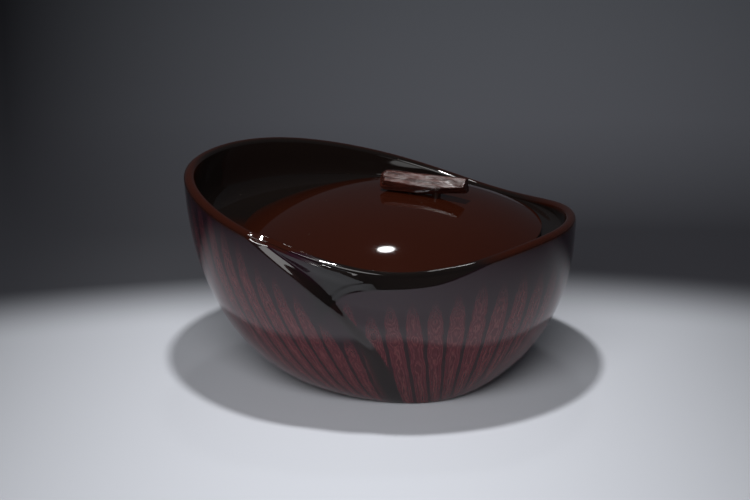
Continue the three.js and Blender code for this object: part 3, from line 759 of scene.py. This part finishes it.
# %% Spin a section
def spin_section(profile, steps):
    """Spins [radius, height] pairs about the Z axis."""
    let_go()
    mesh = bpy.data.meshes.new("section")
    points = [(radius, 0, height) for radius, height in profile]
    edges = [(k, k + 1) for k in range(len(points) - 1)]
    mesh.from_pydata(points, edges, [])
    piece = bpy.data.objects.new("section", mesh)
    bpy.context.scene.collection.objects.link(piece)
    work_on(piece)
    bpy.ops.object.mode_set(mode="EDIT")
    bpy.ops.mesh.select_all(action="SELECT")
    bpy.ops.mesh.spin(steps=steps, angle=2 * math.pi, center=(0, 0, 0), axis=(0, 0, 1))
    bpy.ops.object.mode_set(mode="OBJECT")
    clean_up(piece, 1e-7)
    return piece


def on_lid_oval(piece):
    stretch = Matrix.Diagonal((LID_HALF_LENGTH * MM, LID_HALF_WIDTH * MM, MM, 1))
    turn = Matrix.Rotation(math.radians(LID_TURN), 4, "Z")
    piece.data.transform(Matrix.Translation((LID_X * MM, LID_Y * MM, 0)) @ turn @ stretch)
    clean_up(piece)
    work_on(piece)
    bpy.ops.object.shade_smooth_by_angle(angle=math.radians(40))


def ring_section(inner, outer, bottom, top, round_off, round_up):
    """A rectangle with its four corners taken off, closed on itself."""
    return [
        (inner + round_off, bottom), (outer - round_off, bottom), (outer, bottom + round_up),
        (outer, top - round_up), (outer - round_off, top), (inner + round_off, top),
        (inner, top - round_up), (inner, bottom + round_up), (inner + round_off, bottom),
    ]

# %% Lid dome
LID_EDGE_Z, LID_RISE, LID_FALL, LID_SKIN = 102.4, 21.1, 2.57, 4.2
LID_UNDERSIDE_Z, FLANGE_SEAT_Z = 99, 101.2
FLANGE_OUTER, FLANGE_INNER, FLANGE_BOTTOM_Z = 0.886, 0.845, 93.5
SEAT_OUTER, SEAT_INNER, SEAT_BOTTOM_Z = 0.975, 0.9, 92.5
LID_STEPS = 160


def dome_height(share):
    return LID_EDGE_Z + LID_RISE * (1 - share**LID_FALL)


def lid_section():
    under, beside = FLANGE_INNER - 0.005, FLANGE_OUTER + 0.006
    section = [(share, dome_height(share) - LID_SKIN) for share in np.linspace(0, under, 24)]
    section += [(under, FLANGE_SEAT_Z), (beside, FLANGE_SEAT_Z), (beside, LID_UNDERSIDE_Z)]
    section += [(0.985, LID_UNDERSIDE_Z), (0.991, 99.2), (0.996, 99.9), (0.9985, 100.9), (0.9995, 101.9)]
    section += [(share, dome_height(share)) for share in (0.9985, 0.9965, 0.993, 0.988, 0.98)]
    section += [(share, dome_height(share)) for share in np.linspace(0.97, 0, 60)]
    return section


lid = spin_section(lid_section(), LID_STEPS)
on_lid_oval(lid)
finish_piece(lid, "lid_dome", "lid", "lid_shell", brown)

# %% Rings of the lid, the mouth and the foot
flange = spin_section(
    ring_section(FLANGE_INNER, FLANGE_OUTER, FLANGE_BOTTOM_Z, FLANGE_SEAT_Z - GLUE_GAP, 0.006, 0.6), LID_STEPS
)
on_lid_oval(flange)
finish_piece(flange, "lid_flange", "lid", "lid_locating_ring", brown)

seat = spin_section(ring_section(SEAT_INNER, SEAT_OUTER, SEAT_BOTTOM_Z, SEAT_TOP_Z, 0.005, 0.5), LID_STEPS)
on_lid_oval(seat)
finish_piece(seat, "mouth_ledge", "vessel", "lid_seat_ring", brown)

foot = spin_section(
    ring_section(FOOT_RING_INNER, FOOT_RING_OUTER, 0, FOOT_RING_TOP_Z, FOOT_RING_ROUND, FOOT_RING_ROUND), 128
)
foot.data.transform(Matrix.Translation((FOOT_X * MM, FOOT_Y * MM, 0)) @ Matrix.Scale(MM, 4))
clean_up(foot)
work_on(foot)
bpy.ops.object.shade_smooth_by_angle(angle=math.radians(30))
finish_piece(foot, "standing_ring", "vessel", "foot_ring", black)

# %% [markdown]
# ## The carved bar
# The handle is a stick of hardwood with its bark side left on and flats cut along it with a knife. A real
# carver takes slices off, and so does this cell: a round bar is added, and planes slice it from many sides.
# The edges between the cuts are then softened a little, as handling does.

# %% Slice the bar
BAR_LENGTH, BAR_X, BAR_Y, BAR_Z, BAR_TURN = 60, 28.9, 1.9, 130.7, -21
BAR_RADIUS, BAR_SIDES = 7.6, 14
EDGE_SOFTNESS, SKIN_STEP = 0.0005, 0.00045
SCOOP_DEPTH, SCRATCH_DEPTH, SUNK_BY = 0.00032, 0.00012, 0.0002


def slice_off(piece, place, way):
    """Cuts away what lies beyond a plane and closes the cut, in millimetres along the bar's own axes."""
    work_on(piece)
    bpy.ops.object.mode_set(mode="EDIT")
    bpy.ops.mesh.select_all(action="SELECT")
    bpy.ops.mesh.bisect(plane_co=Vector(place) * MM, plane_no=Vector(way).normalized(), use_fill=True,
                        clear_outer=True)
    bpy.ops.object.mode_set(mode="OBJECT")


let_go()
bpy.ops.mesh.primitive_cylinder_add(vertices=BAR_SIDES, radius=BAR_RADIUS * MM, depth=BAR_LENGTH * MM,
                                    rotation=(0, math.pi / 2, 0))
bar = bpy.context.active_object
bpy.ops.object.transform_apply(location=False, rotation=True, scale=False)

# The bar lies along X, its front towards -Y. Each cut is a point on its plane and the way the plane faces.
BAR_CUTS = (
    ((0, -3.4, 3.4), (0.02, -0.72, 0.69)),
    ((0, 0, 6.5), (0.0, 0.16, 0.98)),
    ((0, 5.9, 0), (0.01, 1, 0.1)),
    ((0, 4.6, 4.2), (-0.02, 0.75, 0.66)),
    ((0, 0, -6.7), (0.0, 0.05, -1)),
    ((-2, -5.9, -4.2), (0.16, -0.74, -0.65)),
    ((2, 0, -6.7), (0.1, 0, -0.99)),
    ((-6, -6.5, -1.6), (-0.03, -0.97, -0.24)),
    ((-29.2, -3.4, 0.6), (-0.66, -0.72, 0.2)),
    ((-29.4, 0, 4.1), (-0.6, -0.1, 0.79)),
    ((-29.2, 3, 2), (-0.66, 0.7, 0.25)),
    ((-29.2, 0, -4.4), (-0.55, 0, -0.83)),
    ((29.6, 0, 0), (0.99, -0.1, 0.03)),
)
for place, way in BAR_CUTS:
    slice_off(bar, place, way)
clean_up(bar, 1e-5)
print("bar facets:", len(bar.data.polygons))

# %% Soften the bar and give it knife marks
bevel = bar.modifiers.new("soft edges", "BEVEL")
bevel.width = EDGE_SOFTNESS
bevel.segments = 2
bevel.limit_method = "ANGLE"
bevel.angle_limit = math.radians(8)
work_on(bar)
bpy.ops.object.modifier_apply(modifier="soft edges")
remesh = bar.modifiers.new("even skin", "REMESH")
remesh.mode = "VOXEL"
remesh.voxel_size = SKIN_STEP
bpy.ops.object.modifier_apply(modifier="even skin")


def knife_marks(piece):
    """Long shallow scoops along the grain, deeper on the front flat."""
    half = BAR_LENGTH / 2 * MM
    mesh = piece.data
    for vertex in mesh.vertices:
        x, y, z = vertex.co
        radial = Vector((0, y, z))
        if abs(x) > half - 0.0004 or radial.length < 1e-4:
            continue
        rough = 1.0 if y < 0 else 0.45
        scoop = noise.noise(Vector((x * 90, y * 420, z * 420)))
        scratch = noise.noise(Vector((x * 260, y * 1500, z * 1500)) + Vector((9, 2, 4)))
        vertex.co += radial.normalized() * (scoop * SCOOP_DEPTH + scratch * SCRATCH_DEPTH - SUNK_BY) * rough
    mesh.update()


knife_marks(bar)
bar.data.transform(
    Matrix.Translation((BAR_X * MM, BAR_Y * MM, BAR_Z * MM)) @ Matrix.Rotation(math.radians(BAR_TURN), 4, "Z")
)
work_on(bar)
bpy.ops.object.shade_smooth()

# %% [markdown]
# ## Wood
# The bar is oiled and rubbed, so it is dark and red with a broken sheen. Its grain runs along it, so the
# noise behind it is stretched that way: a Mapping node turns the pattern to the bar first.

# %% Wood materials
def grain_group():
    group, given, result = new_group(
        "wood grain",
        [("Position", "NodeSocketVector", None), ("Dark", "NodeSocketColor", (0.02, 0.006, 0.004, 1)),
         ("Light", "NodeSocketColor", (0.16, 0.05, 0.03, 1))],
        [("Color", "NodeSocketColor"), ("Height", "NodeSocketFloat"), ("Roughness", "NodeSocketFloat")],
    )
    long = node(group, "ShaderNodeMapping", Vector=given.outputs["Position"], Scale=(60.0, 700.0, 700.0))
    streaks = node(group, "ShaderNodeTexNoise", Vector=long.outputs["Vector"], Scale=1.0, Detail=5.0,
                   Roughness=0.65)
    patch = node(group, "ShaderNodeMapping", Vector=given.outputs["Position"], Scale=(45.0, 160.0, 160.0))
    patches = node(group, "ShaderNodeTexNoise", Vector=patch.outputs["Vector"], Scale=1.0, Detail=2.0)
    share = math_node(group, "MULTIPLY_ADD", streaks.outputs["Fac"], 1.7, -0.45, clamp=True)
    patchy = math_node(group, "MULTIPLY_ADD", patches.outputs["Fac"], 1.6, 0.1)
    share = math_node(group, "MULTIPLY", share, patchy)
    tone = mix_color(group, share, given.outputs["Dark"], given.outputs["Light"])
    group.links.new(tone, result.inputs["Color"])
    group.links.new(streaks.outputs["Fac"], result.inputs["Height"])
    sheen = math_node(group, "MULTIPLY_ADD", streaks.outputs["Fac"], 0.34, 0.1)
    group.links.new(sheen, result.inputs["Roughness"])
    return group


grain = grain_group()


def wood(name, dark, light, turn):
    material = bpy.data.materials.new(name)
    material.use_nodes = True
    tree = material.node_tree
    shader = tree.nodes["Principled BSDF"]
    place = tree.nodes.new("ShaderNodeTexCoord")
    lined_up = node(tree, "ShaderNodeMapping", Vector=place.outputs["Object"], Rotation=turn)
    figure = use_group(tree, grain, Position=lined_up.outputs["Vector"], Dark=dark, Light=light)
    tree.links.new(figure.outputs["Color"], shader.inputs["Base Color"])
    tree.links.new(figure.outputs["Roughness"], shader.inputs["Roughness"])
    bump = node(tree, "ShaderNodeBump", Strength=0.5, Distance=0.0003, Height=figure.outputs["Height"])
    tree.links.new(bump.outputs["Normal"], shader.inputs["Normal"])
    return material


BAR_DARK, BAR_LIGHT = (0.008, 0.002, 0.0015, 1), (0.085, 0.019, 0.011, 1)
# The pegs' tones are darker than the bar's: painted shade for the gap under the bar.
PEG_SHADED_DARK, PEG_SHADED_LIGHT = (0.005, 0.002, 0.0015, 1), (0.022, 0.008, 0.005, 1)
bar_wood = wood("carved wood", BAR_DARK, BAR_LIGHT, (0, 0, math.radians(-BAR_TURN)))
shaded_peg_wood = wood("shaded peg wood", PEG_SHADED_DARK, PEG_SHADED_LIGHT, (0, math.radians(90), 0))
finish_piece(bar, "carved_handle", "lid", "lid_knob", bar_wood)

# %% [markdown]
# ## Pegs
# Two turned pegs hold the bar clear of the dome. They stay as they were made, in wood painted darker than the
# bar's as painted shade in the gap under it.

# %% Dress the pegs
for name in ("knob_peg_left", "knob_peg_right"):
    peg = nodes[name]
    peg.data.materials.clear()
    peg.data.materials.append(shaded_peg_wood)

# %% [markdown]
# ## Floor and light
# Gloss shows the room, so the room is kept simple. The vessel stands on background paper whose colour holds
# painted light: a painted pool of light where it stands and in front of it, fading to the sides, with a soft
# painted edge to a dim grey just behind it, which leaves the far side quiet, and a faint painted glow further
# off. A small lamp hangs nearly overhead for the short, clear shadow. A second one, behind and above, puts
# the small highlight on the lid. A broad soft fill in front lifts the shadow and isn't seen in the gloss. Two
# cards do the opposite: they light nothing, and only their images whiten the fold, the edge of the lip and
# the bar.

# %% Lay the floor
FLOOR_BACK, FLOOR_FRONT, FLOOR_HALF_WIDTH = 3.2, -1.05, 1.9
# Painted light: these colours and shapes paint the lamp's pool on the paper, its soft edge, its fall-off to
# the sides and the backdrop's glow.
PAPER_DIM = (0.0285, 0.029, 0.034, 1)
PAPER_PALE = (0.62, 0.64, 0.69, 1)
PALE_EDGE, PALE_EDGE_BOW, PALE_EDGE_MIDDLE, PAINTED_GLOW_STRENGTH = (0.2, 0.085), 0.55, 0.03, 0.048
SIDES_FALL_BEHIND, MIDDLE_BEHIND, SIDES_FALL_IN_FRONT, LEAST_IN_FRONT = 11.3, 0.09, 5.5, 0.15
let_go()
bpy.ops.mesh.primitive_plane_add(size=2, location=(0, 0, 0))
floor = bpy.context.active_object
floor.name = "floor"
for vertex in floor.data.vertices:
    vertex.co.x *= FLOOR_HALF_WIDTH
    vertex.co.y = FLOOR_BACK if vertex.co.y > 0 else FLOOR_FRONT


def paper():
    """Painted light: a pale pool in front of a bowed edge that darkens to the sides, dim behind it and darker
    to the sides there, with a faint glow at the left, and lighter again further off.
    """
    material = bpy.data.materials.new("paper with painted light")
    material.use_nodes = True
    tree = material.node_tree
    shader = tree.nodes["Principled BSDF"]
    place = tree.nodes.new("ShaderNodeTexCoord")
    parts = node(tree, "ShaderNodeSeparateXYZ", Vector=place.outputs["Object"])
    x, y = parts.outputs["X"], parts.outputs["Y"]
    bow = math_node(tree, "POWER", math_node(tree, "SUBTRACT", x, PALE_EDGE_MIDDLE), 2.0)
    pale = smooth_node(tree, math_node(tree, "MULTIPLY_ADD", bow, PALE_EDGE_BOW, y), *PALE_EDGE)
    # A faint painted glow at the left, behind the pool.
    painted_glow = math_node(tree, "MULTIPLY", smooth_node(tree, x, 0.0, -0.12), smooth_node(tree, x, -0.34, -0.15))
    painted_glow = math_node(tree, "MULTIPLY", painted_glow, smooth_node(tree, y, 0.6, 0.15))
    pale = math_node(tree, "MAXIMUM", pale, math_node(tree, "MULTIPLY", painted_glow, PAINTED_GLOW_STRENGTH))
    # The backdrop's grey lightens further back: painted light.
    dim = ramp(tree, math_node(tree, "MULTIPLY", y, 0.5), [
        (0.1, (0.035, 0.035, 0.041)), (0.14, (0.038, 0.0385, 0.045)), (0.31, (0.148, 0.153, 0.174)),
        (0.6, (0.275, 0.289, 0.323)),
    ])
    # Painted fall-off of the light to the sides, behind the pool and in front of it.
    aside = math_node(tree, "DIVIDE", x, math_node(tree, "ADD", y, 1.2))
    aside = math_node(tree, "POWER", math_node(tree, "SUBTRACT", aside, MIDDLE_BEHIND), 2.0)
    lit = math_node(tree, "MAXIMUM", math_node(tree, "MULTIPLY_ADD", aside, -SIDES_FALL_BEHIND, 1.0), 0.0)
    wide = math_node(tree, "MULTIPLY", math_node(tree, "POWER", x, 2.0), -SIDES_FALL_IN_FRONT)
    near = math_node(tree, "MAXIMUM", math_node(tree, "ADD", wide, 1.0), LEAST_IN_FRONT)
    back = mix_color(tree, lit, PAPER_DIM, dim)
    front = mix_color(tree, near, (0, 0, 0, 1), PAPER_PALE)
    tree.links.new(mix_color(tree, pale, back, front), shader.inputs["Base Color"])
    shader.inputs["Roughness"].default_value = 0.9
    shader.inputs["Specular IOR Level"].default_value = 0.05
    return material


floor.data.materials.append(paper())

# %% Hang the lamps
ROOM = (0.035, 0.037, 0.042, 1)


def lamp(name, place, aim, size, power, in_gloss=True, on_surfaces=True):
    data = bpy.data.lights.new(name, "AREA")
    data.shape = "DISK"
    data.size = size
    data.energy = power
    made = bpy.data.objects.new(name, data)
    made.location = place
    made.rotation_euler = (Vector(aim) - Vector(place)).to_track_quat("-Z", "Y").to_euler()
    made.visible_glossy = in_gloss
    made.visible_diffuse = on_surfaces
    bpy.context.scene.collection.objects.link(made)


lamp("overhead lamp", (-0.035, -0.121, 0.86), (0, 0, 0), 0.055, 4.6)
lamp("back lamp", (0.012, 0.78, 1.76), (0, -0.05, 0.1), 0.145, 1.5)
lamp("soft fill", (-0.3, -1.35, 1.2), (0, 0, 0.05), 1.3, 19, in_gloss=False)
lamp("bright card", (-0.36, -0.5, 1.3), (0, -0.05, 0.1), 0.28, 4, on_surfaces=False)
lamp("dim card", (-0.3, -1.2, 0.95), (0, -0.05, 0.1), 0.7, 4, on_surfaces=False)
world = bpy.data.worlds.new("surround")
world.use_nodes = True
world.node_tree.nodes["Background"].inputs["Color"].default_value = ROOM
world.node_tree.nodes["Background"].inputs["Strength"].default_value = 1
bpy.context.scene.world = world

# %% Let go of the selection
let_go()
